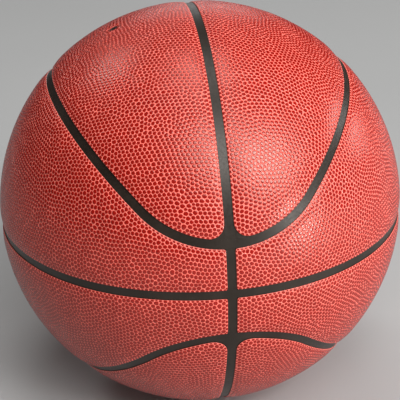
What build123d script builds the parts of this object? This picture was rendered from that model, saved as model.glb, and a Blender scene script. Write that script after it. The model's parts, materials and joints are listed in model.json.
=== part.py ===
from build123d import *

import math
import os

# Driving sizes of the cover and its seams, in millimetres
ball_radius = 121.0  # over the crest of the cover, 760 mm round
panel_thickness = 2.2  # pebbled cover with its sponge backing
channel_width = 4.9  # between facing panel edges
skive_width = 6.0  # border over which a panel thins towards its edge
skive_drop = 0.5  # how far the panel edge lies below the crest
skive_radius = 40.0  # curve of the thinned border, across the seam
crown_corner_radius = 7.5
side_corner_radius = 1.2
strip_thickness = 0.8  # rubber seam strip on the channel floor
strip_side_gap = 0.2  # between a strip and the panel edges beside it
strip_end_gap = 0.2  # between the ends of strips that butt together

# Layout of the seams, in degrees
loop_tilt = 45.0  # between the equator and the long runs of a loop seam
nose_latitude = 13.1  # where a loop seam crosses the meridian seam, up from the equator

# Driving sizes of the layers below the cover, in millimetres
bond_line = 0.2  # adhesive between two layers
carcass_thickness = 1.0
winding_thickness = 0.6
bladder_thickness = 0.7

# Driving sizes of the valve, in millimetres
plug_head_radius = 2.5
plug_head_height = 1.9
plug_head_round = 0.5  # rounded rim of the head
plug_head_clearance = 0.2  # between the head and the hole in the panel
plug_shank_radius = 1.95
plug_shank_length = 12.0
plug_tip_taper = 0.5
seal_ring_rise = 0.15  # how far a sealing ring stands out of the shank
seal_ring_length = 0.8
seal_ring_pitch = 2.6
seal_ring_first = 2.0  # from under the head to the middle of the first ring
seal_ring_count = 4
plug_fit = 0.05  # between the sealing rings and the bore of the seat
needle_bore_radius = 1.2
needle_bore_depth = 9.0
needle_mouth_radius = 1.5  # countersink that leads the needle in
needle_mouth_depth = 0.4
neck_radius = 4.5
boss_radius = 6.5
boss_tip_radius = 5.0
boss_overhang = 0.5  # how far the boss reaches past the plug's tip
flange_radius = 11.0
flange_thickness = 1.6
flange_edge_thickness = 0.6

# Radii of the layers, from the cover inwards
panel_inner = ball_radius - panel_thickness
strip_outer = panel_inner + strip_thickness
strip_width = channel_width - 2 * strip_side_gap
carcass_outer = panel_inner - bond_line
winding_outer = carcass_outer - carcass_thickness - bond_line
bladder_outer = winding_outer - winding_thickness - bond_line
flange_outer = bladder_outer - bladder_thickness - bond_line

# Round nose at each end of a loop seam: a circle that touches both long runs
tilt = math.radians(loop_tilt)
nose_crossing = math.radians(nose_latitude)
nose_centre = math.atan2(math.sin(nose_crossing), math.cos(nose_crossing) - math.cos(tilt))
nose_size = nose_centre - nose_crossing
nose_turn = 180 - 2 * math.degrees(math.atan2(math.cos(tilt) * math.cos(nose_centre), math.sin(tilt)))
run_start = math.acos(math.cos(nose_centre) / math.cos(nose_size))
run_turn = 180 - 2 * math.degrees(run_start)
run_axis = Vector(-math.sin(tilt), 0, math.cos(tilt))
nose_axis = Vector(0, -math.cos(nose_centre), math.sin(nose_centre))
touch_point = (nose_axis - run_axis * math.sin(nose_size)).normalized()

# The valve stands in the middle of its crown panel
valve_angle = (90 - loop_tilt) / 2
valve_place = Rot(0, -valve_angle, 0)

# Blocks that only have to reach past the cover
reach = 3 * ball_radius
spare = panel_thickness


def save(node, solid):
    """Write one node of the ball."""
    export_step(solid, f"parts/{node}.step")


def height_on(radius, offset):
    """Height of a sphere of this radius at an offset from its axis."""
    return math.sqrt(radius**2 - offset**2)


def band(width, inner, outer):
    """Section of a straight-sided band over a seam: x across the seam, y out from the ball's centre."""
    return Pos(0, (inner + outer) / 2) * Rectangle(width, outer - inner)


def skive_section():
    """Section of what is taken off the two panel borders beside a seam, an arc on each side."""
    edge = Vector(channel_width / 2, ball_radius - skive_drop)
    border = Vector(edge.X + skive_width, height_on(ball_radius, edge.X + skive_width))
    chord = border - edge
    inwards = Vector(chord.Y, -chord.X).normalized()
    centre = (edge + border) / 2 + inwards * height_on(skive_radius, chord.length / 2)
    middle = Vector(0, centre.Y + height_on(skive_radius, centre.X))
    top = ball_radius + spare
    right = ThreePointArc(middle, edge, border)
    left = mirror(right, about=Plane.YZ)
    cover = Polyline(border, (border.X, top), (-border.X, top), (-border.X, border.Y))
    return make_face([*right.edges(), *cover.edges(), *left.edges()])


def sweep_seam(section, axis, start, turn):
    """Carry a section along a seam: a turn in degrees about the seam's axis, from its start point."""
    across = (axis - start * axis.dot(start)).normalized()
    plane = Plane(origin=(0, 0, 0), x_dir=across, z_dir=across.cross(start))
    return revolve(plane * section, Axis((0, 0, 0), axis), turn)


def upper_loop(section):
    """Carry a section round the upper loop seam: two long runs and two noses."""
    run = sweep_seam(section, run_axis, touch_point, run_turn)
    nose = sweep_seam(section, nose_axis, Vector(-touch_point.X, touch_point.Y, touch_point.Z), nose_turn)
    return run + mirror(run, about=Plane.YZ) + nose + mirror(nose, about=Plane.XZ)


def equator(section):
    """Carry a section round the equator seam."""
    return sweep_seam(section, Vector(0, 0, 1), Vector(-1, 0, 0), 360)


def meridian(section):
    """Carry a section round the meridian seam."""
    return sweep_seam(section, Vector(1, 0, 0), Vector(0, 0, -1), 360)


def shell_sector(inner, outer, turn):
    """A sector of a spherical shell about the Y axis: from the top, through a turn in degrees towards +X."""
    section = make_face([
        CenterArc((0, 0), outer, 0, 180).edge(),
        Line((-outer, 0), (-inner, 0)).edge(),
        CenterArc((0, 0), inner, 0, 180).edge(),
        Line((inner, 0), (outer, 0)).edge(),
    ])
    return revolve(Plane.YZ * section, Axis.Y, turn)


def panel_blanks(inner, outer, gap):
    """One crown panel and one side panel of even thickness, with sharp corners."""
    channel = upper_loop(band(gap, inner - spare, outer + spare))
    quarter = shell_sector(inner, outer, 90) - Box(gap, reach, reach) - Box(reach, reach, gap) - channel
    side, crown = sorted(quarter.solids(), key=lambda panel: panel.center().Z - panel.center().X)
    return crown, side


def runs_through(edge):
    """Whether an edge runs through a panel's wall, nearer to the radial direction than to the surface."""
    outwards = edge.center().normalized()
    return abs((edge @ 1 - edge @ 0).normalized().dot(outwards)) > math.cos(math.radians(45))


def rounded_corners(panel, gap, radius):
    """Round the corners of a panel, which all lie along its meridian edge, half a gap from the seam."""
    corners = [edge for edge in panel.edges() if edge.center().X < gap and runs_through(edge)]
    return panel.fillet(radius, corners)


def four_ways(panel):
    """A panel and its mirror images, by the place of each on the ball."""
    left = mirror(panel, about=Plane.YZ)
    return {
        "upper_right": panel,
        "upper_left": left,
        "lower_right": mirror(panel, about=Plane.XY),
        "lower_left": mirror(left, about=Plane.XY),
    }


def cover_panels():
    """The eight cover panels, thinned towards their edges, with the hole for the valve."""
    crown, side = panel_blanks(panel_inner, ball_radius, channel_width)
    skive = skive_section()
    for border in (meridian(skive), upper_loop(skive), equator(skive)):
        crown = crown - border
        side = side - border
    crown = rounded_corners(crown, channel_width, crown_corner_radius)
    side = rounded_corners(side, channel_width, side_corner_radius)
    up = (Align.CENTER, Align.CENTER, Align.MIN)
    valve_hole = valve_place * Cylinder(plug_head_radius + plug_head_clearance, reach, align=up)
    for place, panel in four_ways(crown).items():
        save(f"crown_panel_{place}", panel - valve_hole if place == "upper_left" else panel)
    for place, panel in four_ways(side).items():
        save(f"side_panel_{place}", panel)


def seam_strips():
    """The rubber strips on the channel floors: a ring, two loops and six lengths of the meridian."""
    strip = band(strip_width, panel_inner, strip_outer)
    cut = band(strip_width + 2 * strip_end_gap, panel_inner - spare, strip_outer + spare)
    loop = upper_loop(strip)
    loop_cut = upper_loop(cut)
    save("equator_strip", equator(strip))
    save("upper_loop_strip", loop)
    save("lower_loop_strip", mirror(loop, about=Plane.XY))

    short = meridian(strip) - Box(reach, reach, strip_width + 2 * strip_end_gap) - loop_cut
    short = short.solids().filter_by(lambda piece: piece.center().Z > 0).sort_by(Axis.Y)[0]
    back = mirror(short, about=Plane.XZ)
    save("meridian_strip_front_upper", short)
    save("meridian_strip_front_lower", mirror(short, about=Plane.XY))
    save("meridian_strip_back_upper", back)
    save("meridian_strip_back_lower", mirror(back, about=Plane.XY))

    # The long lengths widen at their ends, where the rounded corners of the crown panels leave room
    crown, _ = panel_blanks(panel_inner - spare, strip_outer + spare, strip_width)
    crown = rounded_corners(crown, strip_width, crown_corner_radius + strip_side_gap)
    upper_half = Rot(0, -90, 0) * shell_sector(panel_inner, strip_outer, 180)
    long = upper_half - crown - mirror(crown, about=Plane.YZ) - loop_cut
    long = long.solids().sort_by(Axis.Z)[-1]
    save("meridian_strip_top", long)
    save("meridian_strip_bottom", mirror(long, about=Plane.XY))


def closed_layer(outer, thickness):
    """A closed spherical layer with the hole that the neck of the valve seat comes through."""
    inner = outer - thickness
    hole = neck_radius + bond_line
    section = make_face([
        ThreePointArc((hole, height_on(outer, hole)), (outer, 0), (0, -outer)).edge(),
        Line((0, -outer), (0, -inner)).edge(),
        ThreePointArc((0, -inner), (inner, 0), (hole, height_on(inner, hole))).edge(),
        Line((hole, height_on(inner, hole)), (hole, height_on(outer, hole))).edge(),
    ])
    return valve_place * revolve(Plane.XZ * section, Axis.Z)


def layers():
    """Carcass, thread winding and bladder."""
    save("carcass", closed_layer(carcass_outer, carcass_thickness))
    save("thread_winding", closed_layer(winding_outer, winding_thickness))
    save("bladder", closed_layer(bladder_outer, bladder_thickness))


def valve():
    """The seat bonded inside the bladder, and the plug that is pushed into it."""
    neck_top = height_on(carcass_outer, neck_radius)
    bore = plug_shank_radius + seal_ring_rise + plug_fit
    plug_tip = neck_top - plug_shank_length
    boss_tip = plug_tip - boss_overhang
    flange_rim = height_on(flange_outer, flange_radius)
    seat_outline = Polyline(
        (flange_radius, flange_rim),
        (flange_radius, flange_rim - flange_edge_thickness),
        (boss_radius, height_on(flange_outer, boss_radius) - flange_thickness),
        (boss_tip_radius, boss_tip),
        (bore, boss_tip),
        (bore, neck_top),
        (neck_radius, neck_top),
        (neck_radius, height_on(flange_outer, neck_radius)),
    )
    middle = (neck_radius + flange_radius) / 2
    flange_face = ThreePointArc(seat_outline @ 1, (middle, height_on(flange_outer, middle)), seat_outline @ 0)
    seat = revolve(Plane.XZ * make_face([*seat_outline.edges(), flange_face.edge()]), Axis.Z)
    save("valve_seat", valve_place * seat)

    up = (Align.CENTER, Align.CENTER, Align.MIN)
    down = (Align.CENTER, Align.CENTER, Align.MAX)
    shank = Pos(0, 0, neck_top) * Cylinder(plug_shank_radius, plug_shank_length, align=down)
    shank = chamfer(shank.edges().sort_by(Axis.Z)[0], plug_tip_taper)
    head = Pos(0, 0, neck_top) * Cylinder(plug_head_radius, plug_head_height, align=up)
    head = fillet(head.edges().sort_by(Axis.Z)[-1], plug_head_round)
    plug = head + shank
    ring = Cylinder(plug_shank_radius + seal_ring_rise, seal_ring_length)
    ring = chamfer(ring.edges().filter_by(GeomType.CIRCLE), seal_ring_rise)
    for number in range(seal_ring_count):
        plug += Pos(0, 0, neck_top - seal_ring_first - number * seal_ring_pitch) * ring
    head_top = Pos(0, 0, neck_top + plug_head_height)
    plug -= head_top * Cylinder(needle_bore_radius, needle_bore_depth, align=down)
    plug -= head_top * Cone(needle_bore_radius, needle_mouth_radius, needle_mouth_depth, align=down)
    save("valve_plug", valve_place * plug)


os.makedirs("parts", exist_ok=True)
cover_panels()
seam_strips()
layers()
valve()
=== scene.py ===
import json
import math

import bpy
import numpy as np
from bpy.props import FloatProperty, FloatVectorProperty, IntProperty, PointerProperty
from mathutils import Matrix, Vector
from mathutils.geometry import delaunay_2d_cdt
from mathutils.kdtree import KDTree


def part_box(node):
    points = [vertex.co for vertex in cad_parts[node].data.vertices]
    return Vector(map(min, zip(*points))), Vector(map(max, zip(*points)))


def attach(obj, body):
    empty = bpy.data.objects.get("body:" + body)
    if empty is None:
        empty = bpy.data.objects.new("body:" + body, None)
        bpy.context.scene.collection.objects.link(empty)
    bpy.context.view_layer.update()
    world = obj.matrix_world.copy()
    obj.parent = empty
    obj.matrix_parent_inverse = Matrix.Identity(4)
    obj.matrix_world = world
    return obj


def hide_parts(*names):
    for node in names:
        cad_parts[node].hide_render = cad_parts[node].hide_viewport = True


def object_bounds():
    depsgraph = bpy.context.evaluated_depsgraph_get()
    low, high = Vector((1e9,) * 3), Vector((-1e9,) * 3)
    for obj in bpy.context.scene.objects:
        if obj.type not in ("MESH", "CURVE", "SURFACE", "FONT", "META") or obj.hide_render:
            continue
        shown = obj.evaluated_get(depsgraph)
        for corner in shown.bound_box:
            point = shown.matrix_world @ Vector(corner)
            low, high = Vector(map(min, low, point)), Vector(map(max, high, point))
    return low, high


bl_info = {
    "name": "Pebbled game ball",
    "version": (1, 0, 0),
    "blender": (4, 5, 0),
    "location": "View3D > Sidebar > Ball",
    "description": (
        "Dresses the solid model of a game ball: pebbled cover, seam rubber, valve, inner layers and stage"),
    "category": "Object",
}

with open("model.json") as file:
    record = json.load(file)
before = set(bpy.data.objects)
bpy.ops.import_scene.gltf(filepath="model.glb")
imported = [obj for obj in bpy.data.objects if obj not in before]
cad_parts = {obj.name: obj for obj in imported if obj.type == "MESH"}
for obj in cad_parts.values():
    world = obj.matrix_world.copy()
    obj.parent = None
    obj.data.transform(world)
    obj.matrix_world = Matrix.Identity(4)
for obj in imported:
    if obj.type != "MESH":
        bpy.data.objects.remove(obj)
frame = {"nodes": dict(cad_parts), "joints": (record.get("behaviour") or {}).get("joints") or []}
CAD_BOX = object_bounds()
MM = 0.001


def shell_of(node):
    """Nearest and farthest distance of a node's corners from the ball's centre."""
    corners = np.array([corner.co for corner in frame["nodes"][node].data.vertices])
    away = np.linalg.norm(corners, axis=1)
    return float(away.min()), float(away.max())


def along_valve(node):
    """Lowest and highest point of a node along the valve's axis, from the ball's centre."""
    corners = np.array([corner.co for corner in frame["nodes"][node].data.vertices])
    heights = corners @ VALVE_AXIS
    return float(heights.min()), float(heights.max())


# Sizes that the solid model gives
PANEL_BASE, CREST = shell_of("side_panel_upper_right")
STRIP_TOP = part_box("equator_strip")[1].x
CHANNEL_WIDTH = 2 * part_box("side_panel_upper_right")[0].z
FLOOR_HEIGHT = CAD_BOX[0].z
VALVE_AXIS = np.array(frame["joints"][0]["axis"]) / np.linalg.norm(frame["joints"][0]["axis"])
PLUG_TIP, PLUG_TOP = along_valve("valve_plug")

# The mirror signs of x and z that carry a panel of the upper right quarter to its place
PLACES = {"upper_right": (1, 1), "upper_left": (-1, 1), "lower_right": (1, -1), "lower_left": (-1, -1)}
VALVE_PANEL = "crown_panel_upper_left"


# Settings that the sidebar shows


def a_length(name, about, metres):
    """A setting for a length."""
    return FloatProperty(name=name, description=about, default=metres, unit="LENGTH")


def an_angle(name, about, degrees):
    """A setting for an angle, kept in radians."""
    return FloatProperty(name=name, description=about, default=math.radians(degrees), subtype="ANGLE")


def a_power(name, about, watts):
    """A setting for the power of a light."""
    return FloatProperty(name=name, description=about, default=watts, unit="POWER")


def a_number(name, about, value):
    """A setting for a plain number."""
    return FloatProperty(name=name, description=about, default=value)


def a_colour(name, about, values):
    """A setting for a colour."""
    return FloatVectorProperty(name=name, description=about, subtype="COLOR", size=3, default=values)


class SeamLayout(bpy.types.PropertyGroup):
    """Where the seams run, and how the panels end at them."""

    loop_tilt: an_angle("Loop tilt", "Between the equator and the long runs of a loop seam", 45.0)
    nose_latitude: an_angle("Nose latitude", "Where a loop seam crosses the meridian seam", 13.1)
    channel_width: a_length("Channel width", "Between facing panel edges", CHANNEL_WIDTH)
    crown_corner: a_length("Crown corner", "Radius of a crown panel's corners", 7.5 * MM)
    side_corner: a_length("Side corner", "Radius of a side panel's corners", 1.2 * MM)
    valve_hole: a_length("Valve hole", "Radius of the hole in the cover round the valve", 2.7 * MM)


class CoverFinish(bpy.types.PropertyGroup):
    """The pebbled skin of the cover panels."""

    pitch: a_length("Pitch", "Between the middles of neighbouring pebbles", 2.41 * MM)
    height: a_length("Height", "Of a pebble over the valley round it", 0.20 * MM)
    foot: a_number("Foot", "Width of a pebble's foot, as a share of its cell", 0.93)
    shoulder: a_number("Shoulder", "Width of a pebble's shoulder, as a share of its cell", 0.80)
    top: a_number("Top", "Width of a pebble's flat top, as a share of its cell", 0.60)
    spread: a_number("Spread", "How much pebbles differ in size", 0.04)
    border: a_length("Border", "Width over which a panel thins towards its edge", 8.5 * MM)
    border_drop: a_length("Border drop", "How far a panel's edge lies below its crest", 0.8 * MM)
    hole_drop: a_length("Hole drop", "How far the edge of the valve hole lies below the valleys", 0.2 * MM)
    lip: a_length("Lip", "Rounding of a panel's edge", 0.14 * MM)
    pebble_colour: a_colour("Pebble colour", "Printed tops of the pebbles", (0.30, 0.006, 0.003))
    valley_colour: a_colour("Valley colour", "Skin in the valleys between pebbles", (0.95, 0.198, 0.152))
    # The panels' cut edges, lips and linings are coloured near black
    wall_colour: a_colour("Wall colour", "Cut edges of the panels, black with cement", (0.035, 0.020, 0.016))
    seed: IntProperty(name="Seed", description="Starts the scatter of the pebbles", default=7)


class RubberFinish(bpy.types.PropertyGroup):
    """Seam strips and valve."""

    strip_gap: a_length("Strip gap", "Between a strip and what lies beside it", 0.04 * MM)
    strip_colour: a_colour("Strip colour", "Rubber of the seam strips", (0.014, 0.009, 0.006))
    valve_colour: a_colour("Valve colour", "Rubber of the valve", (0.012, 0.009, 0.008))


class ValveSizes(bpy.types.PropertyGroup):
    """The valve plug, as in the solid model."""

    head: a_length("Head", "Radius of the head", 2.5 * MM)
    head_height: a_length("Head height", "Of the head", 1.9 * MM)
    head_round: a_length("Head round", "Of the head's rim", 0.5 * MM)
    bore: a_length("Bore", "Radius of the needle hole", 1.2 * MM)
    bore_depth: a_length("Bore depth", "Of the needle hole", 9.0 * MM)
    mouth: a_length("Mouth", "Radius of the hole's mouth", 1.5 * MM)
    mouth_depth: a_length("Mouth depth", "Of the countersink", 0.4 * MM)
    shank: a_length("Shank", "Radius of the shank", 1.95 * MM)
    taper: a_length("Taper", "At the tip", 0.5 * MM)
    ring_rise: a_length("Ring rise", "Of a sealing ring", 0.15 * MM)
    ring_length: a_length("Ring length", "Of a sealing ring", 0.8 * MM)
    ring_pitch: a_length("Ring pitch", "Between rings", 2.6 * MM)
    first_ring: a_length("First ring", "Below the head", 2.0 * MM)


class StageSetup(bpy.types.PropertyGroup):
    """Camera, lights and ground."""

    azimuth: an_angle("Azimuth", "Camera's turn round the ball, from the front", -7.2)
    elevation: an_angle("Elevation", "Camera's height over the equator", 24.38)
    roll: an_angle("Roll", "Camera's turn about its own axis", -1.98)
    distance: a_length("Distance", "From the camera to the ball's centre", 0.664)
    lens: a_number("Lens", "Focal length in millimetres", 97.16)
    far: a_length("Far lights", "From the ball's centre to a far light", 3.9)
    near: a_length("Near lights", "From the ball's centre to a near light", 1.3)
    key_power: a_power("Key", "Far soft light, right and above", 128.0)
    front_power: a_power("Front", "Far soft light over the camera", 72.0)
    top_power: a_power("Top", "Far soft light overhead", 30.0)
    rim_power: a_power("Rim", "Far light above, on the left", 17.0)
    low_power: a_power("Low", "Near fill from the right, by the ground", 5.6)
    edge_power: a_power("Edge", "Far light behind, on the right", 22.0)
    back_power: a_power("Back", "Far soft light behind the ball", 10.0)
    ambient: a_number("Ambient", "Light from all round", 0.03)
    ground_colour: a_colour("Ground colour", "Floor and backdrop", (0.42, 0.42, 0.415))


# Seams on the ball, as circles on a sphere of radius one

# Longest step round a corner, in its radii
CORNER_STEP = 0.5


def unit_rows(rows):
    """Rows of numbers, each made one long."""
    return rows / np.linalg.norm(rows, axis=1)[:, None]


class Rim:
    """One edge of a panel: a circle with the panel on its axis side, walked anticlockwise about that axis."""

    def __init__(self, axis, reach):
        self.axis = np.array(axis, float)
        self.reach = reach

    def nearest(self, point):
        """The point of this circle nearest to another point of the sphere."""
        side = point - self.axis * (self.axis @ point)
        return self.axis * math.cos(self.reach) + side / np.linalg.norm(side) * math.sin(self.reach)


def meeting(first, second, inset):
    """Where two rims cross, both moved into the panel by an angle, with the panel to the left of both."""
    a, b = math.cos(first.reach - inset), math.cos(second.reach - inset)
    share = first.axis @ second.axis
    level = (first.axis * (a - b * share) + second.axis * (b - a * share)) / (1 - share**2)
    across = np.cross(first.axis, second.axis)
    rise = math.sqrt(max(0.0, 1 - level @ level) / (across @ across))
    return level + across * rise


def turned_about(axis, start, angles):
    """A point turned about an axis by several angles."""
    along = axis * (axis @ start)
    return along + np.outer(np.cos(angles), start - along) + np.outer(np.sin(angles), np.cross(axis, start))


def walk(axis, start, end, step):
    """Even points from start to end, anticlockwise about an axis, without the end."""
    out, side = start - axis * (axis @ start), np.cross(axis, start)
    turn = math.atan2(end @ side, end @ out) % (2 * math.pi)
    count = max(1, round(turn * np.linalg.norm(out) / step))
    return turned_about(axis, start, np.linspace(0, turn, count, endpoint=False))


def full_circle(rim, step):
    """Even points all the way round a rim."""
    start = rim.nearest(np.array((0.0, -1.0, 0.0)))
    count = round(2 * math.pi * math.sin(rim.reach) / step)
    return turned_about(rim.axis, start, np.linspace(0, 2 * math.pi, count, endpoint=False))


def outline(rims, corners, step):
    """The edge of a panel, anticlockwise: its rims, with a corner radius after each."""
    points = []
    for number, rim in enumerate(rims):
        after = (number + 1) % len(rims)
        start = meeting(rims[number - 1], rim, corners[number - 1])
        end = meeting(rim, rims[after], corners[number])
        points.append(walk(rim.axis, rim.nearest(start), rim.nearest(end), step))
        if corners[number]:
            fine = min(step, CORNER_STEP * corners[number])
            points.append(walk(end, rim.nearest(end), rims[after].nearest(end), fine))
    return np.concatenate(points)


class Seams:
    """The circles that the seams follow, worked out from the layout."""

    def __init__(self, layout):
        tilt, crossing = layout.loop_tilt, layout.nose_latitude
        self.half = math.asin(layout.channel_width / 2 / CREST)
        centre = math.atan2(math.sin(crossing), math.cos(crossing) - math.cos(tilt))
        self.nose_size = centre - crossing
        self.front = np.array((0, -math.cos(centre), math.sin(centre)))
        self.back = self.front * (1, -1, 1)
        self.run = np.array((-math.sin(tilt), 0, math.cos(tilt)))
        self.crown_corner = layout.crown_corner / CREST
        self.side_corner = layout.side_corner / CREST

    def crown(self, inset):
        """Rims and corners of the upper right crown panel, moved in by an angle."""
        flat = math.pi / 2 - self.half - inset
        nose = self.nose_size - self.half - inset
        rims = [Rim((1, 0, 0), flat), Rim(self.front, nose), Rim(self.run, flat), Rim(self.back, nose)]
        corner = self.crown_corner - inset
        return rims, [corner, 0, 0, corner]

    def side(self, inset):
        """Rims and corners of the upper right side panel, moved in by an angle."""
        flat = math.pi / 2 - self.half - inset
        nose = math.pi - self.nose_size - self.half - inset
        edge = Rim((1, 0, 0), flat)
        rims = [
            Rim((0, 0, 1), flat), edge,
            Rim(-self.back, nose), Rim(-self.run, flat), Rim(-self.front, nose), edge]
        corner = self.side_corner - inset
        return rims, [corner, corner, 0, 0, corner, corner]


# Scatter of the pebbles

# Area of a cell in even rows, in square pitches
EVEN_CELL = math.sqrt(3) / 2
# How far the rows are shaken, and how near the edge pebbles start and end, in pitches
SHAKE, START_CLEARANCE, END_CLEARANCE = 0.20, 0.5, 0.3
# Pushing apart: turns, turns for each net, distance wanted in pitches, and share of the lack made up
TURNS, TURNS_PER_NET, ELBOW_ROOM, PUSH = 25, 5, 1.06, 0.3
# Blender's mode for triangles inside the loops, and the distance at which points count as one
INSIDE_LOOPS, SAME_POINT = 1, 1e-9


class FlatMap:
    """Carries points near a middle point to a plane in which circles stay circles."""

    def __init__(self, middle):
        self.middle = middle / np.linalg.norm(middle)
        self.right = np.array((0.0, 1.0, 0.0))
        self.right -= self.middle * (self.middle @ self.right)
        self.right /= np.linalg.norm(self.right)
        self.up = np.cross(self.middle, self.right)

    def __call__(self, points):
        """The places of points of the sphere in the plane."""
        depth = 1 + points @ self.middle
        return np.stack((points @ self.right / depth, points @ self.up / depth), axis=1)


def loop_pairs(loops):
    """The edges of closed loops of numbered points."""
    return [(int(a), int(b)) for loop in loops for a, b in zip(loop, np.roll(loop, -1))]


def triangles(points, loops, flat_map):
    """The best triangles between points, inside the first loop and outside the others."""
    flat = [Vector(point) for point in flat_map(points)]
    result = delaunay_2d_cdt(flat, loop_pairs(loops), [], INSIDE_LOOPS, SAME_POINT)
    first = np.array([origin[0] for origin in result[3]])
    faces = first[np.array(result[2])]
    for hole in loops[1:]:
        faces = faces[~np.isin(faces, hole).all(axis=1)]
    return faces


def edge_pairs(faces):
    """Each edge of some triangles, once."""
    pairs = np.concatenate((faces[:, :2], faces[:, 1:], faces[:, ::2]))
    return np.unique(np.sort(pairs, axis=1), axis=0)


class EdgeGauge:
    """Measures how far a point lies inside a panel's edge."""

    def __init__(self, loops):
        self.tree = KDTree(sum(map(len, loops)))
        self.spots, self.inwards = [], []
        for loop in loops:
            ahead = np.roll(loop, -1, axis=0) - np.roll(loop, 1, axis=0)
            self.inwards.extend(unit_rows(np.cross(loop, ahead)))
            self.spots.extend(loop)
        for number, spot in enumerate(self.spots):
            self.tree.insert(spot, number)
        self.tree.balance()

    def __call__(self, points):
        """The depth of each point inside the edge, below zero outside it."""
        depths = np.empty(len(points))
        for number, point in enumerate(points):
            _, spot, away = self.tree.find(point)
            inside = (point - self.spots[spot]) @ self.inwards[spot]
            depths[number] = math.copysign(away, inside)
        return depths


def spiral(count, chance):
    """Points spread evenly over the whole sphere on one long spiral, about an axis left to chance."""
    number = np.arange(count) + 0.5
    height = 1 - 2 * number / count
    turn = number * math.pi * (3 - math.sqrt(5))
    flat = np.sqrt(1 - height**2)
    points = np.stack((flat * np.cos(turn), flat * np.sin(turn), height), axis=1)
    axes, _ = np.linalg.qr(chance.normal(size=(3, 3)))
    return points @ axes


def scatter(edge, gauge, flat_map, loops, pitch, spread, seed):
    """Pebble middles on a panel: even rows, shaken, then pushed apart until they lie nearly even again."""
    chance = np.random.default_rng(seed)
    free = spiral(round(4 * math.pi / (pitch**2 * EVEN_CELL)), chance)
    free = unit_rows(free + chance.normal(scale=SHAKE * pitch, size=free.shape))
    free = free[(free[:, 0] > 0) & (free[:, 2] > 0)]
    free = free[gauge(free) > START_CLEARANCE * pitch]
    points = np.concatenate((edge, free))
    size = chance.uniform(1 - spread, 1 + spread, len(points)) * pitch * ELBOW_ROOM
    for turn in range(TURNS):
        if turn % TURNS_PER_NET == 0:
            a, b = edge_pairs(triangles(points, loops, flat_map)).T
        gap = points[b] - points[a]
        length = np.linalg.norm(gap, axis=1)
        push = np.clip((size[a] + size[b]) / 2 - length, 0, None) / length * PUSH
        move = np.zeros_like(points)
        np.add.at(move, b, gap * push[:, None])
        np.add.at(move, a, -gap * push[:, None])
        points[len(edge):] += move[len(edge):]
        points = unit_rows(points)
    inside = np.concatenate((np.ones(len(edge), bool), gauge(points[len(edge):]) > END_CLEARANCE * pitch))
    return points[inside]


# Node trees

# Inputs of the pebble tree that are named like the cover's settings
PEBBLE_SIZES = ("Pitch", "Height", "Foot", "Shoulder", "Top")
# Height of a pebble's shoulder, as a share of the whole
SHOULDER_LEVEL = 0.75
# How far pebbles in small cells fill them more than pebbles in large ones, and the most that a foot fills
EVENING, WIDEST_FOOT = 0.15, 0.95
# Cuts in each side of a strip's section
STRIP_CUTS = 7


class NodeSketch:
    """Adds nodes to a tree and joins them."""

    def __init__(self, tree):
        self.tree = tree

    def add(self, kind, inputs=None, **settings):
        """A new node, with its inputs set to values or joined to other nodes."""
        node = self.tree.nodes.new(kind)
        for name, value in settings.items():
            setattr(node, name, value)
        for name, value in (inputs or {}).items():
            if isinstance(value, bpy.types.NodeSocket):
                self.join(value, node, name)
            else:
                node.inputs[name].default_value = value
        return node

    def join(self, output, node, name):
        """Lead the output of one node to an input of another."""
        self.tree.links.new(output, node.inputs[name])

    def math(self, operation, first, second):
        """A sum of two numbers, or another operation on them."""
        return self.add("ShaderNodeMath", {0: first, 1: second}, operation=operation).outputs[0]

    def vector(self, operation, first, second):
        """A sum of two vectors, or another operation on them."""
        return self.add("ShaderNodeVectorMath", {0: first, 1: second}, operation=operation).outputs[0]

    def stretch(self, vector, share):
        """A vector times a number."""
        return self.add("ShaderNodeVectorMath", {0: vector, 3: share}, operation="SCALE").outputs[0]

    def store(self, mesh, name, value, kind="FLOAT", domain="POINT", chosen=True):
        """A mesh that keeps a value under a name."""
        inputs = {"Geometry": mesh, "Selection": chosen, "Name": name, "Value": value}
        return self.add("GeometryNodeStoreNamedAttribute", inputs, data_type=kind, domain=domain).outputs[0]

    def stored(self, name, kind="FLOAT"):
        """The value that a mesh keeps under a name."""
        return self.add("GeometryNodeInputNamedAttribute", {"Name": name}, data_type=kind).outputs[0]


def new_tree(name, inputs):
    """A geometry tree with named inputs after the geometry, and its first and last nodes."""
    tree = bpy.data.node_groups.new(name, "GeometryNodeTree")
    tree.interface.new_socket("Geometry", in_out="INPUT", socket_type="NodeSocketGeometry")
    for label, kind in inputs.items():
        tree.interface.new_socket(label, in_out="INPUT", socket_type=kind)
    tree.interface.new_socket("Geometry", in_out="OUTPUT", socket_type="NodeSocketGeometry")
    sketch = NodeSketch(tree)
    return tree, sketch, sketch.add("NodeGroupInput"), sketch.add("NodeGroupOutput")


def close_tree(sketch, geometry, start, end):
    """Finish a geometry tree: smooth, realised, with its material."""
    smooth = sketch.add("GeometryNodeSetShadeSmooth", {"Geometry": geometry}).outputs[0]
    whole = sketch.add("GeometryNodeRealizeInstances", {"Geometry": smooth}).outputs[0]
    material = start.outputs["Material"]
    dressed = sketch.add("GeometryNodeSetMaterial", {"Geometry": whole, "Material": material})
    sketch.join(dressed.outputs[0], end, "Geometry")


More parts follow.
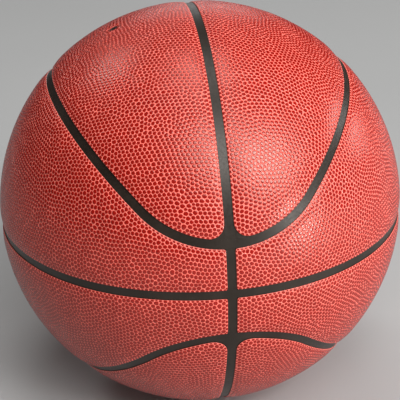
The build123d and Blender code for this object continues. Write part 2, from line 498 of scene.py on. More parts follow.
def pebble_tree():
    """Turns a net of triangles between pebble middles into cells, and raises a pebble in each cell."""
    inputs = dict.fromkeys(PEBBLE_SIZES, "NodeSocketFloat")
    inputs.update({"Seed": "NodeSocketInt", "Material": "NodeSocketMaterial"})
    tree, sketch, start, end = new_tree("Pebbled cover", inputs)
    given = start.outputs
    mesh = sketch.add("GeometryNodeDualMesh", {"Mesh": given["Geometry"], "Keep Boundaries": True}).outputs[0]
    tone = sketch.add("FunctionNodeRandomValue", {2: 0.0, 3: 1.0, "Seed": given["Seed"]}, data_type="FLOAT")
    place = sketch.add("GeometryNodeInputPosition").outputs[0]
    area = sketch.add("GeometryNodeInputMeshFaceArea").outputs[0]
    # Kept on each cell: its tone, its middle, its width and the way back from the edge
    # Kept on each point: its level, from the valley to the top
    mesh = sketch.store(mesh, "tone", tone.outputs[1], domain="FACE")
    mesh = sketch.store(mesh, "heart", place, "FLOAT_VECTOR", "FACE")
    mesh = sketch.store(mesh, "room", sketch.math("POWER", area, 0.5), domain="FACE")
    mesh = sketch.store(mesh, "pebble", 0.0)
    aside = sketch.vector("SUBTRACT", sketch.stored("middle", "FLOAT_VECTOR"), place)
    mesh = sketch.store(mesh, "pull", sketch.stretch(aside, sketch.stored("cut")), "FLOAT_VECTOR", "FACE")
    pull = sketch.stored("pull", "FLOAT_VECTOR")
    height = sketch.math("MULTIPLY", given["Height"], sketch.stored("rise"))
    usual = sketch.math("MULTIPLY", sketch.math("POWER", given["Pitch"], 2.0), EVEN_CELL)
    evened = sketch.math("POWER", sketch.math("DIVIDE", usual, area), EVENING)
    foot = sketch.math("MINIMUM", sketch.math("MULTIPLY", given["Foot"], evened), WIDEST_FOOT)
    # Of each ring: its rise over the last, its width as a share of the last, and its level
    rings = (
        (0.0, foot, 0.0),
        (SHOULDER_LEVEL, sketch.math("DIVIDE", given["Shoulder"], given["Foot"]), SHOULDER_LEVEL),
        (1 - SHOULDER_LEVEL, sketch.math("DIVIDE", given["Top"], given["Shoulder"]), 1.0),
    )
    chosen, so_far = True, 1.0
    for part, share, level in rings:
        lift = sketch.math("MULTIPLY", height, part)
        raised = sketch.add(
            "GeometryNodeExtrudeMesh",
            {"Mesh": mesh, "Selection": chosen, "Offset Scale": lift, "Individual": True}, mode="FACES")
        chosen = raised.outputs["Top"]
        centre = sketch.vector("ADD", place, sketch.stretch(pull, so_far))
        drawn = sketch.add(
            "GeometryNodeScaleElements",
            {"Geometry": raised.outputs["Mesh"], "Selection": chosen, "Scale": share, "Center": centre},
            domain="FACE")
        so_far = sketch.math("MULTIPLY", so_far, share)
        mesh = sketch.store(drawn.outputs[0], "pebble", level, chosen=chosen)
    close_tree(sketch, mesh, start, end)
    return tree


def strip_tree():
    """Sweeps the flat section of a seam strip along a path on the ball."""
    tree, sketch, start, end = new_tree("Seam strip", {
        "Width": "NodeSocketFloat", "Thickness": "NodeSocketFloat", "Material": "NodeSocketMaterial"})
    given = start.outputs
    path = sketch.add("GeometryNodeMeshToCurve", {"Mesh": given["Geometry"]}).outputs[0]
    place = sketch.add("GeometryNodeInputPosition").outputs[0]
    outwards = sketch.add("ShaderNodeVectorMath", {0: place}, operation="NORMALIZE").outputs[0]
    upright = sketch.add("GeometryNodeSetCurveNormal", {"Curve": path, "Normal": outwards}, mode="FREE")
    block = sketch.add(
        "GeometryNodeCurvePrimitiveQuadrilateral", {"Width": given["Thickness"], "Height": given["Width"]})
    fine = sketch.add("GeometryNodeSubdivideCurve", {"Curve": block.outputs[0], "Cuts": STRIP_CUTS})
    swept = sketch.add(
        "GeometryNodeCurveToMesh",
        {"Curve": upright.outputs[0], "Profile Curve": fine.outputs[0], "Fill Caps": True})
    close_tree(sketch, swept.outputs[0], start, end)
    return tree


def placed(name, data):
    """A new object in the scene."""
    thing = bpy.data.objects.new(name, data)
    bpy.context.scene.collection.objects.link(thing)
    return thing


def grown(name, mesh, tree, values):
    """The plain mesh that a geometry tree makes of a mesh, with its inputs set by name."""
    seedling = placed(name, mesh)
    modifier = seedling.modifiers.new("Grown", "NODES")
    modifier.node_group = tree
    for socket in tree.interface.items_tree:
        if socket.in_out == "INPUT" and socket.name in values:
            modifier[socket.identifier] = values[socket.name]
    bpy.context.view_layer.update()
    whole = seedling.evaluated_get(bpy.context.evaluated_depsgraph_get())
    result = bpy.data.meshes.new_from_object(whole)
    seedling.modifiers.remove(modifier)
    bpy.data.objects.remove(seedling)
    bpy.data.meshes.remove(mesh)
    if not result.polygons:
        raise RuntimeError(f"{name}: the node tree {tree.name} made no faces")
    return result


# Materials

# Tints of the gleam on the cover and on rubber
LEATHER_SHEEN, RUBBER_SHEEN = (1.0, 0.87, 0.78, 1.0), (1.0, 0.95, 0.89, 1.0)
# Where a pebble's ink begins and is full, by height, and where it ends, by distance from the pebble's middle
INK_LEVELS, INK_REACH = (0.08, 0.45), (0.475, 0.535)
# Heights between which the black of the cut edge fades
WALL_LEVELS = (-0.70, -0.15)
# Least and most of the cover's shades from pebble to pebble and in clouds, of its roughness, and of its gloss
PEBBLE_SHADES, CLOUD_SHADES = (0.93, 1.06), (0.97, 1.03)
LEATHER_ROUGHNESS, LEATHER_GLOSS = (0.18, 0.26), (0.10, 0.66)
# Dust on rubber: where it begins and is thickest in a noise, its least and most, and how it lightens a colour
DUST_SPAN, DUST_SHARE, DUST_GAIN, DUST_LIFT = (0.35, 0.75), (0.0, 0.35), 2.2, 0.01
# How far the roughness of rubber falls and rises with its grain
RUBBER_FALL, RUBBER_RISE = 0.06, 0.08
# Between these values most of a noise lies
NOISE_SPAN = (0.3, 0.7)
# From nothing to all
WHOLE = (0.0, 1.0)
# Depth of the grain in leather and rubber
GRAIN_DEPTH = 0.05 * MM


def new_material(name, roughness, specular):
    """A material with its own shader, and a sketch to add nodes to it."""
    material = bpy.data.materials.new(name)
    material.use_nodes = True
    shader = material.node_tree.nodes["Principled BSDF"]
    shader.inputs["Roughness"].default_value = roughness
    shader.inputs["Specular IOR Level"].default_value = specular
    return material, NodeSketch(material.node_tree), shader


def colour(value):
    """Three parts of a colour, as the four that a shader takes."""
    return (*value, 1.0)


def mixed(sketch, share, first, second, blend="MIX"):
    """A colour between two, by a share."""
    node = sketch.add("ShaderNodeMix", {0: share, 6: first, 7: second}, data_type="RGBA", blend_type=blend)
    return node.outputs[2]


def graded(sketch, value, span, result):
    """A value carried smoothly from one span to another."""
    inputs = dict(enumerate((value, *span, *result)))
    return sketch.add("ShaderNodeMapRange", inputs, interpolation_type="SMOOTHSTEP").outputs[0]


def noise(sketch, scale, detail, roughness=0.5):
    """Cloudy values over the surface, by object coordinates."""
    place = sketch.add("ShaderNodeTexCoord").outputs["Object"]
    node = sketch.add(
        "ShaderNodeTexNoise", {"Vector": place, "Scale": scale, "Detail": detail, "Roughness": roughness})
    return node.outputs["Fac"]


def kept(sketch, name, output="Fac"):
    """A value that the mesh keeps under a name."""
    return sketch.add("ShaderNodeAttribute", attribute_name=name).outputs[output]


def bumped(sketch, shader, height, strength, depth):
    """Make a surface look uneven by a height."""
    bump = sketch.add("ShaderNodeBump", {"Height": height, "Strength": strength, "Distance": depth})
    sketch.join(bump.outputs[0], shader, "Normal")


def cover_leather(finish):
    """Pebbled cover: dark, glossy printed tops on a lighter, duller skin."""
    material, sketch, shader = new_material("Pebbled cover leather", roughness=0.22, specular=0.48)
    shader.inputs["Specular Tint"].default_value = LEATHER_SHEEN
    level = kept(sketch, "pebble")
    place = sketch.add("ShaderNodeTexCoord").outputs["Object"]
    away = sketch.add(
        "ShaderNodeVectorMath", {0: place, 1: kept(sketch, "heart", "Vector")}, operation="DISTANCE")
    reach = sketch.math("DIVIDE", away.outputs["Value"], kept(sketch, "room"))
    rounded = graded(sketch, reach, INK_REACH, WHOLE[::-1])
    inked = sketch.math("MULTIPLY", graded(sketch, level, INK_LEVELS, WHOLE), rounded)
    skin = mixed(sketch, inked, colour(finish.valley_colour), colour(finish.pebble_colour))
    # Cut edges, lips and linings turn near black, fading in over the lip
    walled = graded(sketch, level, WALL_LEVELS, WHOLE[::-1])
    skin = mixed(sketch, walled, skin, colour(finish.wall_colour))
    shade = graded(sketch, kept(sketch, "tone"), WHOLE, PEBBLE_SHADES)
    cloud = graded(sketch, noise(sketch, scale=40.0, detail=3.0), NOISE_SPAN, CLOUD_SHADES)
    shade = sketch.math("MULTIPLY", shade, cloud)
    tint = sketch.add("ShaderNodeCombineColor", {0: shade, 1: shade, 2: shade}).outputs[0]
    sketch.join(mixed(sketch, 1.0, skin, tint, "MULTIPLY"), shader, "Base Color")
    grain = noise(sketch, scale=2500.0, detail=2.0)
    bumped(sketch, shader, grain, strength=0.15, depth=GRAIN_DEPTH)
    rough = graded(sketch, grain, NOISE_SPAN, LEATHER_ROUGHNESS)
    sketch.join(rough, shader, "Roughness")
    gloss = graded(sketch, inked, WHOLE, LEATHER_GLOSS)
    sketch.join(gloss, shader, "Specular IOR Level")
    return material


def soft_rubber(name, base, roughness, specular=0.5):
    """Plain rubber with a fine grain and faint dust."""
    material, sketch, shader = new_material(name, roughness, specular)
    shader.inputs["Specular Tint"].default_value = RUBBER_SHEEN
    dust = graded(sketch, noise(sketch, scale=60.0, detail=4.0, roughness=0.6), DUST_SPAN, DUST_SHARE)
    pale = tuple(min(1.0, part * DUST_GAIN + DUST_LIFT) for part in base)
    sketch.join(mixed(sketch, dust, colour(base), colour(pale)), shader, "Base Color")
    grain = noise(sketch, scale=900.0, detail=3.0, roughness=0.6)
    bumped(sketch, shader, grain, strength=0.25, depth=GRAIN_DEPTH)
    rough = graded(sketch, grain, NOISE_SPAN, (roughness - RUBBER_FALL, roughness + RUBBER_RISE))
    sketch.join(rough, shader, "Roughness")
    return material


def wound_thread():
    """Nylon thread in latex: fine pale lines that cross."""
    material, sketch, shader = new_material("Wound nylon thread", roughness=0.6, specular=0.3)
    latex, nylon = colour((0.42, 0.38, 0.30)), colour((0.80, 0.77, 0.70))
    place = sketch.add("ShaderNodeTexCoord").outputs["Object"]
    lines = []
    for turn in ((0.3, 0.5, 0.0), (1.2, -0.4, 0.8), (-0.5, 0.9, 1.9)):
        turned = sketch.add("ShaderNodeMapping", {"Vector": place, "Rotation": turn}).outputs[0]
        wave = sketch.add("ShaderNodeTexWave", {"Vector": turned, "Scale": 160.0, "Distortion": 1.5})
        lines.append(wave.outputs["Fac"])
    web = sketch.math("MAXIMUM", sketch.math("MAXIMUM", lines[0], lines[1]), lines[2])
    sketch.join(mixed(sketch, web, latex, nylon), shader, "Base Color")
    bumped(sketch, shader, web, strength=0.6, depth=0.2 * MM)
    return material


# Meshes

# Steps along a panel's edge for measuring and round the valve hole, in pitches
FINE_STEP, HOLE_STEP = 0.2, 0.35
# How far a pebble cut by the edge is drawn back from it
CUT_PULL = 0.6
# The lining's points: how deep in the panel they lie, in pitches, and how many pebbles there are for each
LINING_DEPTH, LINING_EVERY = 3, 10
# The baking map, in radii of the ball: its size, its margin, its two rows, and the lining's scale and place
MAP_SIZE, MAP_MARGIN, MAP_ROWS = 1.90, 0.03, (0.47, 1.41)
LINING_SCALE, LINING_PLACE = 0.05, (1.78, 0.47)
# Steps along the seam strips and round the crown corners, and rows of faces across a widening
STRIP_STEP, FLARE_STEP, FLARE_ROWS = 1.5 * MM, 0.5 * MM, 5


def mesh_of(name, points, faces):
    """A mesh from points in metres."""
    mesh = bpy.data.meshes.new(name)
    mesh.from_pydata(points, [], faces)
    mesh.update()
    return mesh


def set_values(mesh, name, values, domain="POINT"):
    """Store a number or a vector for each point or face."""
    values = np.asarray(values, np.float32)
    kind, key = ("FLOAT", "value") if values.ndim == 1 else ("FLOAT_VECTOR", "vector")
    mesh.attributes.new(name, kind, domain).data.foreach_set(key, values.ravel())


def get_values(mesh, name):
    """The number or the vector of each point or face."""
    layer = mesh.attributes[name]
    key, shape = ("vector", (-1, 3)) if layer.data_type == "FLOAT_VECTOR" else ("value", -1)
    values = np.empty(len(layer.data) * (3 if key == "vector" else 1), np.float32)
    layer.data.foreach_get(key, values)
    return values.reshape(shape)


def points_of(mesh):
    """The points of a mesh, as rows."""
    points = np.empty(len(mesh.vertices) * 3)
    mesh.vertices.foreach_get("co", points)
    return points.reshape(-1, 3)


def open_loops(faces):
    """The closed loops of edges that only one face has, in that face's direction."""
    edges = {(a, b) for face in faces for a, b in zip(face, face[1:] + face[:1])}
    ahead = {a: b for a, b in edges if (b, a) not in edges}
    loops = []
    while ahead:
        loop = [next(iter(ahead))]
        while ahead[loop[-1]] != loop[0]:
            loop.append(ahead.pop(loop[-1]))
        ahead.pop(loop[-1])
        loops.append(np.array(loop))
    return sorted(loops, key=len, reverse=True)


def wall(upper, lower):
    """The faces between two closed loops of numbered points, the upper one run anticlockwise."""
    faces = np.stack((np.roll(upper, -1), upper, lower, np.roll(lower, -1)), axis=1)
    return list(map(tuple, faces.tolist()))


def add_piece(name, mesh, material, node, body):
    """Put a finished mesh in the scene in place of a node of the solid model."""
    mesh.materials.clear()
    mesh.materials.append(material)
    piece = placed(name, mesh)
    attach(piece, body)
    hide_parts(node)


def pebble_net(name, outline_of, hole, finish, seed):
    """A net of triangles between the pebble middles of one panel, with what its closing needs."""
    pitch = finish.pitch / CREST
    rims, corners = outline_of(finish.lip / CREST)
    holes = [] if hole is None else [hole]
    loops = [outline(rims, corners, pitch), *holes]
    fine_loops = [outline(rims, corners, FINE_STEP * pitch), *holes]
    edge = np.concatenate(loops)
    numbers = np.split(np.arange(len(edge)), np.cumsum([len(loop) for loop in loops])[:-1])
    flat_map, gauge = FlatMap(loops[0].mean(axis=0)), EdgeGauge(fine_loops)
    middles = scatter(edge, gauge, flat_map, numbers, pitch, finish.spread, seed)
    inset = np.clip(EdgeGauge(fine_loops[:1])(middles), 0, None)
    drop = finish.border_drop * np.clip(1 - inset * CREST / finish.border, 0, None) ** 2
    rise, cut = np.ones(len(middles)), np.zeros(len(middles))
    cut[numbers[0]] = CUT_PULL
    for ring in numbers[1:]:
        drop[ring] = finish.hole_drop
        rise[ring] = 0.0
    faces = triangles(middles, numbers, flat_map)
    net = mesh_of(name, middles * (CREST - finish.height - drop)[:, None], faces.tolist())
    set_values(net, "rise", rise)
    set_values(net, "cut", cut)
    set_values(net, "middle", points_of(net))
    sparse = middles[gauge(middles) > LINING_DEPTH * pitch][::LINING_EVERY]
    return net, sparse, flat_map


def unrolled(directions, turn):
    """Directions laid out flat, true in area: along the panel, and across it from its long middle line."""
    along = np.arcsin(np.clip(directions[:, 1], -1, 1))
    across = np.arctan2(directions[:, 0], directions[:, 2]) - turn
    return np.stack((along, across * np.cos(along)), axis=1)


def lay_out(mesh, flat, lining_from):
    """Map a panel for baking: its two halves as two rows, and its lining small beside them."""
    corner = np.empty(len(mesh.loops), int)
    mesh.loops.foreach_get("vertex_index", corner)
    for_face = np.empty(len(mesh.polygons), int)
    mesh.polygons.foreach_get("loop_total", for_face)
    owner = np.repeat(np.arange(len(for_face)), for_face)
    spot = flat[corner]
    middle = np.bincount(owner, spot[:, 0]) / for_face
    row = (middle > 0)[owner]
    place = np.stack((
        np.where(row, spot[:, 0], -spot[:, 0]) + MAP_MARGIN,
        spot[:, 1] + np.where(row, *MAP_ROWS)), axis=1)
    lining = owner >= lining_from
    place[lining] = spot[lining] * LINING_SCALE + LINING_PLACE
    layer = mesh.uv_layers.new(name="OFBake")
    layer.data.foreach_set("uv", (place / MAP_SIZE).astype(np.float32).ravel())


def closed_panel(name, skin, sparse, flat_map, finish, signs):
    """A pebbled skin with its rounded edges, walls and lining, carried to its place on the ball."""
    points = points_of(skin)
    faces = [tuple(face.vertices) for face in skin.polygons]
    skin_faces = len(faces)
    heart, pebble, tone, room = (get_values(skin, kind) for kind in ("heart", "pebble", "tone", "room"))
    loops = open_loops(faces)
    directions = unit_rows(points)
    rings = [points]
    spread = [directions]
    total, ends = len(points), []
    for loop in loops:
        here = directions[loop]
        out = unit_rows(np.cross(np.roll(here, -1, axis=0) - np.roll(here, 1, axis=0), here))
        level = np.linalg.norm(points[loop], axis=1)[:, None]
        lip = unit_rows(here + out * finish.lip / CREST)
        rings += [lip * (level - finish.lip), lip * PANEL_BASE]
        spread += [here + out * 2 * finish.lip / CREST, here + out * (level - PANEL_BASE) / CREST]
        first, second = total + np.arange(len(loop)), total + len(loop) + np.arange(len(loop))
        total += 2 * len(loop)
        ends.append(second)
        faces += wall(loop, first) + wall(first, second)
    lining_from = len(faces)
    rings.append(sparse * PANEL_BASE)
    spread.append(sparse)
    points = np.concatenate(rings)
    lining = np.concatenate((*ends, total + np.arange(len(sparse))))
    local = np.split(np.arange(len(lining)), np.cumsum([len(end) for end in ends]))[:-1]
    inner = triangles(unit_rows(points[lining]), local, flat_map)
    faces += map(tuple, lining[inner[:, ::-1]].tolist())
    if signs[0] * signs[1] < 0:
        faces = [face[::-1] for face in faces]
    mirror = (signs[0], 1, signs[1])
    mesh = mesh_of(name, points * mirror, faces)
    mesh.polygons.foreach_set("use_smooth", np.ones(len(faces), bool))
    plain = len(faces) - skin_faces
    set_values(mesh, "heart", np.concatenate((heart * mirror, np.zeros((plain, 3)))), "FACE")
    set_values(mesh, "pebble", np.concatenate((pebble, np.full(len(points) - len(pebble), -1.0))))
    set_values(mesh, "tone", np.concatenate((tone, np.full(plain, 0.5))), "FACE")
    set_values(mesh, "room", np.concatenate((room, np.full(plain, finish.pitch))), "FACE")
    lay_out(mesh, unrolled(unit_rows(np.concatenate(spread)), math.atan2(*flat_map.middle[::2])), lining_from)
    return mesh


def joined(name, meshes):
    """Several meshes as one."""
    points, faces, total = [], [], 0
    for mesh in meshes:
        rows = points_of(mesh)
        faces += [tuple(total + corner for corner in face.vertices) for face in mesh.polygons]
        points.append(rows)
        total += len(rows)
    result = mesh_of(name, np.concatenate(points), faces)
    result.polygons.foreach_set("use_smooth", np.ones(len(faces), bool))
    return result


def slab(name, grid, top, base):
    """A closed slab under a grid of directions, between two distances from the ball's centre."""
    rows, columns = grid.shape[:2]
    flat = grid.reshape(-1, 3)
    number = np.arange(rows * columns).reshape(rows, columns)
    a, b = number[:-1, :-1], number[:-1, 1:]
    c, d = number[1:, 1:], number[1:, :-1]
    faces = [tuple(face) for face in np.stack((a, b, c, d), axis=-1).reshape(-1, 4).tolist()]
    loop = open_loops(faces)[0]
    under = [tuple(corner + len(flat) for corner in face[::-1]) for face in faces]
    points = np.concatenate((flat * top, flat * base))
    return mesh_of(name, points, faces + wall(loop, loop + len(flat)) + under)


def strip_path(points, closed):
    """A path mesh for the strip tree: its points joined by edges."""
    mesh = bpy.data.meshes.new("Path")
    count = len(points)
    edges = [(number, (number + 1) % count) for number in range(count if closed else count - 1)]
    mesh.from_pydata(points, edges, [])
    return mesh


def flares(seams, gap, half_of_ball):
    """The four widenings of a long meridian strip, where the rounded crown corners leave room."""
    rims, corners = seams.crown(0)
    centre = meeting(rims[0], rims[1], corners[0])
    start, end = rims[0].nearest(centre), rims[1].nearest(centre)
    arc = np.concatenate((walk(centre, start, end, FLARE_STEP / CREST), [end]))
    arc = unit_rows(centre + (arc - centre) * (1 + gap / corners[0]))
    strip_edge = Rim((1, 0, 0), math.pi / 2 - seams.half + gap)
    nose_edge = Rim(seams.front, seams.nose_size - seams.half)
    corner = meeting(strip_edge, nose_edge, 0)
    half = len(arc) // 2
    share = np.linspace(0, 1, half, endpoint=False)[:, None]
    down = unit_rows(strip_edge.nearest(start) * (1 - share) + corner * share)
    share = np.linspace(0, 1, len(arc) - half)[:, None]
    over = corner * (1 - share) + nose_edge.nearest(end) * share
    inner = np.concatenate((down, [nose_edge.nearest(point) for point in over]))
    steps = np.linspace(0, 1, FLARE_ROWS)[:, None, None]
    grid = inner[None] * (1 - steps) + arc[None] * steps
    grid /= np.linalg.norm(grid, axis=2)[:, :, None]
    meshes = []
    for signs in ((1, 1), (1, -1), (-1, 1), (-1, -1)):
        patch = grid * (*signs, half_of_ball)
        facing = np.cross(patch[0, 1] - patch[0, 0], patch[1, 0] - patch[0, 0]) @ patch[0, 0]
        meshes.append(slab("Flare", patch if facing > 0 else patch[::-1], STRIP_TOP, PANEL_BASE))
    return meshes


def lathed(name, profile, axis, segments):
    """A closed solid turned about an axis through the ball's centre, from (radius, height) pairs."""
    axis = np.array(axis)
    side = np.cross((0.0, 1.0, 0.0), axis)
    side /= np.linalg.norm(side)
    front = np.cross(axis, side)
    angles = np.linspace(0, 2 * math.pi, segments, endpoint=False)
    circle = np.outer(np.cos(angles), side) + np.outer(np.sin(angles), front)
    points, rings = [], []
    for radius, height in profile:
        spots = circle * radius if radius > 0 else np.zeros((1, 3))
        rings.append(sum(map(len, points)) + np.arange(len(spots)))
        points.append(spots + axis * height)
    faces = []
    for lower, upper in zip(rings, rings[1:]):
        for number in range(segments):
            ahead = (number + 1) % segments
            face = [lower[ahead % len(lower)], lower[number % len(lower)],
                    upper[number % len(upper)], upper[ahead % len(upper)]]
            faces.append(tuple(dict.fromkeys(int(corner) for corner in face)))
    return mesh_of(name, np.concatenate(points), faces)


# Operators, one for each kind of piece

# Added to the seed for side panels
SIDE_SEEDS = 100
# Edges that turn more than this are sharp
STRIP_SHARP, PLUG_SHARP = math.radians(40), math.radians(35)
# The plug: faces round it, points on the head's rim, sealing rings, and a ring's section in lengths and rises
PLUG_SEGMENTS, RIM_POINTS, PLUG_RINGS = 64, 7, 4
RING_SECTION = ((0.5, 0.0), (0.3, 1.0), (-0.3, 1.0), (-0.5, 0.0))


class BALL_OT_cover_panels(bpy.types.Operator):
    """Make the eight pebbled cover panels"""

    bl_idname = "ball.cover_panels"
    bl_label = "Cover panels"

    def execute(self, context):
        finish, layout = context.scene.ball_cover, context.scene.ball_seams
        seams, tree, leather = Seams(layout), pebble_tree(), cover_leather(finish)
        values = {label: getattr(finish, label.lower()) for label in PEBBLE_SIZES}
        values["Material"] = leather
        hole_rim = Rim(VALVE_AXIS * (1, 1, -1), math.pi - layout.valve_hole / CREST)
        hole = full_circle(hole_rim, HOLE_STEP * finish.pitch / CREST)
        for kind, outline_of, first in (("crown", seams.crown, 0), ("side", seams.side, SIDE_SEEDS)):
            for number, (place, signs) in enumerate(PLACES.items()):
                name, seed = f"{kind}_panel_{place}", finish.seed + number + first
                valve_edge = hole if name == VALVE_PANEL else None
                net, sparse, flat_map = pebble_net(name, outline_of, valve_edge, finish, seed)
                skin = grown(name, net, tree, {**values, "Seed": seed})
                panel = closed_panel(name, skin, sparse, flat_map, finish, signs)
                bpy.data.meshes.remove(skin)
                add_piece(f"pebbled_{name}", panel, leather, name, "ball")
        return {"FINISHED"}


class BALL_OT_seam_strips(bpy.types.Operator):
    """Make the rubber strips on the channel floors"""

    bl_idname = "ball.seam_strips"
    bl_label = "Seam strips"

    def execute(self, context):
        layout, rubber = context.scene.ball_seams, context.scene.ball_rubber
        seams, tree = Seams(layout), strip_tree()
        material = soft_rubber("Seam rubber", tuple(rubber.strip_colour), roughness=0.40, specular=0.48)
        values = {
            "Width": layout.channel_width - 2 * rubber.strip_gap, "Thickness": STRIP_TOP - PANEL_BASE,
            "Material": material}
        level, step = (STRIP_TOP + PANEL_BASE) / 2, STRIP_STEP / CREST
        gap = rubber.strip_gap / CREST
        flat, nose = math.pi / 2, seams.nose_size
        left_run = seams.run * (-1, 1, 1)
        rims = [Rim(seams.front, nose), Rim(seams.run, flat), Rim(seams.back, nose), Rim(left_run, flat)]
        loop = outline(rims, [0] * len(rims), step)

        def meridian(start, end):
            """Points on the meridian between two latitudes, over the front."""
            angles = np.linspace(start, end, max(2, round((end - start) / step)))
            return np.stack((0 * angles, -np.cos(angles), np.sin(angles)), axis=1)

        crossing, half = layout.nose_latitude, seams.half
        long = meridian(crossing + half, math.pi - crossing - half)
        short = meridian(half, crossing - half)
        # Of each strip: its path, whether that is closed, and its widenings
        strips = {
            "equator_strip": (full_circle(Rim((0, 0, 1), flat), step), True, []),
            "upper_loop_strip": (loop, True, []),
            "lower_loop_strip": ((loop * (1, 1, -1))[::-1], True, []),
            "meridian_strip_top": (long, False, flares(seams, gap, 1)),
            "meridian_strip_bottom": ((long * (1, 1, -1))[::-1], False, flares(seams, gap, -1)),
            "meridian_strip_front_upper": (short, False, []),
            "meridian_strip_front_lower": ((short * (1, 1, -1))[::-1], False, []),
            "meridian_strip_back_upper": ((short * (1, -1, 1))[::-1], False, []),
            "meridian_strip_back_lower": (short * (1, -1, -1), False, []),
        }
        for node, (points, closed, widened) in strips.items():
            mesh = grown(node, strip_path(points * level, closed), tree, values)
            if widened:
                mesh = joined(node, [mesh, *widened])
            mesh.set_sharp_from_angle(angle=STRIP_SHARP)
            add_piece(f"rubber_{node}", mesh, material, node, "ball")
        return {"FINISHED"}


class BALL_OT_valve_plug(bpy.types.Operator):
    """Make the valve plug, with its needle hole and sealing rings"""

    bl_idname = "ball.valve_plug"
    bl_label = "Valve plug"

    def execute(self, context):
        sizes, rubber = context.scene.ball_valve, context.scene.ball_rubber
        material = soft_rubber("Valve rubber", tuple(rubber.valve_colour), roughness=0.60, specular=0.25)
        under, bore_end = PLUG_TOP - sizes.head_height, PLUG_TOP - sizes.bore_depth
        profile = [
            (0, bore_end), (sizes.bore, bore_end), (sizes.bore, PLUG_TOP - sizes.mouth_depth),
            (sizes.mouth, PLUG_TOP)]
        for turn in np.linspace(0, math.pi / 2, RIM_POINTS):
            profile.append((
                sizes.head - sizes.head_round * (1 - math.sin(turn)),
                PLUG_TOP - sizes.head_round * (1 - math.cos(turn))))
        profile += [(sizes.head, under), (sizes.shank, under)]
        for number in range(PLUG_RINGS):
            middle = under - sizes.first_ring - number * sizes.ring_pitch
            for aside, rise in RING_SECTION:
                profile.append((sizes.shank + rise * sizes.ring_rise, middle + aside * sizes.ring_length))
        profile += [
            (sizes.shank, PLUG_TIP + sizes.taper), (sizes.shank - sizes.taper, PLUG_TIP), (0, PLUG_TIP)]
        mesh = lathed("valve_plug", profile, VALVE_AXIS, PLUG_SEGMENTS)
        mesh.set_sharp_from_angle(angle=PLUG_SHARP)
        add_piece("rubber_valve_plug", mesh, material, "valve_plug", "plug")
        return {"FINISHED"}


class BALL_OT_inner_layers(bpy.types.Operator):
    """Give the layers under the cover their finish"""

    bl_idname = "ball.inner_layers"
    bl_label = "Inner layers"

    def execute(self, context):
        butyl = soft_rubber("Butyl rubber", (0.055, 0.055, 0.057), roughness=0.6)
        finishes = {
            "carcass": soft_rubber("Carcass rubber", (0.045, 0.040, 0.036), roughness=0.65),
            "thread_winding": wound_thread(),
            "bladder": butyl,
            "valve_seat": butyl,
        }
        for node, material in finishes.items():
            frame["nodes"][node].material_slots[0].material = material
        return {"FINISHED"}


# The stage: width of the camera's sensor in millimetres, half the floor's width, and shade of its clouds
SENSOR_WIDTH, FLOOR_REACH, FLOOR_SHADE = 36.0, 8.0, 0.97
# Of each light: its direction across, up and towards the camera, whether it is far or near, and its width
LIGHTS = {
    "key": ((0.57, 0.33, 0.75), "far", 2.10),
    "front": ((0.12, 0.46, 0.88), "far", 2.25),
    "top": ((0.00, 0.95, 0.30), "far", 1.80),
    "rim": ((-0.55, 0.82, -0.12), "far", 0.90),
    "low": ((0.80, -0.20, 0.57), "near", 0.30),
    "edge": ((0.88, 0.42, -0.22), "far", 1.20),
    "back": ((0.00, 0.66, -0.75), "far", 1.80),
}


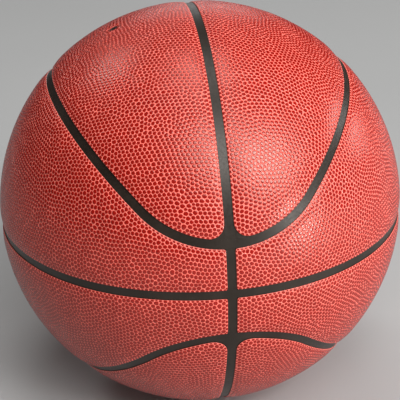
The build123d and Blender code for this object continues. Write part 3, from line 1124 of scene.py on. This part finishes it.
class BALL_OT_stage(bpy.types.Operator):
    """Set the floor, the lights and the camera"""

    bl_idname = "ball.stage"
    bl_label = "Stage"

    def execute(self, context):
        setup = context.scene.ball_stage
        level = Vector((math.cos(setup.azimuth), math.sin(setup.azimuth), 0))
        back = Vector((
            math.cos(setup.elevation) * math.sin(setup.azimuth),
            -math.cos(setup.elevation) * math.cos(setup.azimuth),
            math.sin(setup.elevation)))
        upright = back.cross(level)
        right = level * math.cos(setup.roll) + upright * math.sin(setup.roll)
        up = back.cross(right)

        lens = bpy.data.cameras.new("Camera")
        lens.lens, lens.sensor_width = setup.lens, SENSOR_WIDTH
        camera = placed("Camera", lens)
        turned = Matrix((right, up, back)).transposed().to_4x4()
        camera.matrix_world = Matrix.Translation(back * setup.distance) @ turned
        context.scene.camera = camera

        for name, (aim, reach, size) in LIGHTS.items():
            lamp = bpy.data.lights.new(name.title(), "AREA")
            lamp.shape, lamp.size, lamp.energy = "DISK", size, getattr(setup, f"{name}_power")
            place = (right * aim[0] + up * aim[1] + back * aim[2]).normalized()
            facing = place.to_track_quat("Z", "Y").to_matrix().to_4x4()
            light = placed(name.title(), lamp)
            light.matrix_world = Matrix.Translation(place * getattr(setup, reach)) @ facing
            light.visible_camera = False

        material, sketch, shader = new_material("Pale ground", roughness=0.8, specular=0.2)
        cloud = graded(sketch, noise(sketch, scale=3.0, detail=3.0), (0.2, 0.8), WHOLE)
        shaded = tuple(FLOOR_SHADE * part for part in setup.ground_colour)
        ground = mixed(sketch, cloud, colour(shaded), colour(setup.ground_colour))
        sketch.join(ground, shader, "Base Color")
        signs = ((-1, -1), (1, -1), (1, 1), (-1, 1))
        corners = [(x * FLOOR_REACH, y * FLOOR_REACH, FLOOR_HEIGHT) for x, y in signs]
        floor = placed("Floor", mesh_of("Floor", corners, [(0, 1, 2, 3)]))
        floor.data.materials.append(material)

        world = bpy.data.worlds.new("Studio")
        context.scene.world = world
        world.use_nodes = True
        shader = world.node_tree.nodes["Background"]
        shader.inputs["Color"].default_value = (1.0, 1.0, 1.0, 1.0)
        shader.inputs["Strength"].default_value = setup.ambient
        context.scene.view_settings.view_transform = "Standard"
        return {"FINISHED"}


class BALL_PT_sidebar(bpy.types.Panel):
    """Lists the pieces of the ball and their sizes"""

    bl_label = "Game ball"
    bl_idname = "BALL_PT_sidebar"
    bl_space_type = "VIEW_3D"
    bl_region_type = "UI"
    bl_category = "Ball"

    def draw(self, context):
        layout = self.layout
        for operator in OPERATORS:
            layout.operator(operator.bl_idname)
        for title, (name, group) in SETTINGS.items():
            box = layout.box()
            box.label(text=title)
            for prop in group.__annotations__:
                box.prop(getattr(context.scene, name), prop)


SETTINGS = {
    "Seams": ("ball_seams", SeamLayout),
    "Cover": ("ball_cover", CoverFinish),
    "Rubber": ("ball_rubber", RubberFinish),
    "Valve": ("ball_valve", ValveSizes),
    "Stage": ("ball_stage", StageSetup),
}
OPERATORS = (
    BALL_OT_cover_panels, BALL_OT_seam_strips, BALL_OT_valve_plug, BALL_OT_inner_layers, BALL_OT_stage)
CLASSES = (*(group for _, group in SETTINGS.values()), *OPERATORS, BALL_PT_sidebar)


def register():
    """Add the classes, and the ball's settings to the scene."""
    for part in CLASSES:
        bpy.utils.register_class(part)
    for name, group in SETTINGS.values():
        setattr(bpy.types.Scene, name, PointerProperty(type=group))


def unregister():
    """Take the settings and the classes away again."""
    for name, _ in SETTINGS.values():
        delattr(bpy.types.Scene, name)
    for part in reversed(CLASSES):
        bpy.utils.unregister_class(part)


def main():
    """Add the settings, then build every piece in order."""
    register()
    bpy.ops.ball.stage()
    bpy.ops.ball.cover_panels()
    bpy.ops.ball.seam_strips()
    bpy.ops.ball.valve_plug()
    bpy.ops.ball.inner_layers()


if __name__ == "__main__":
    main()
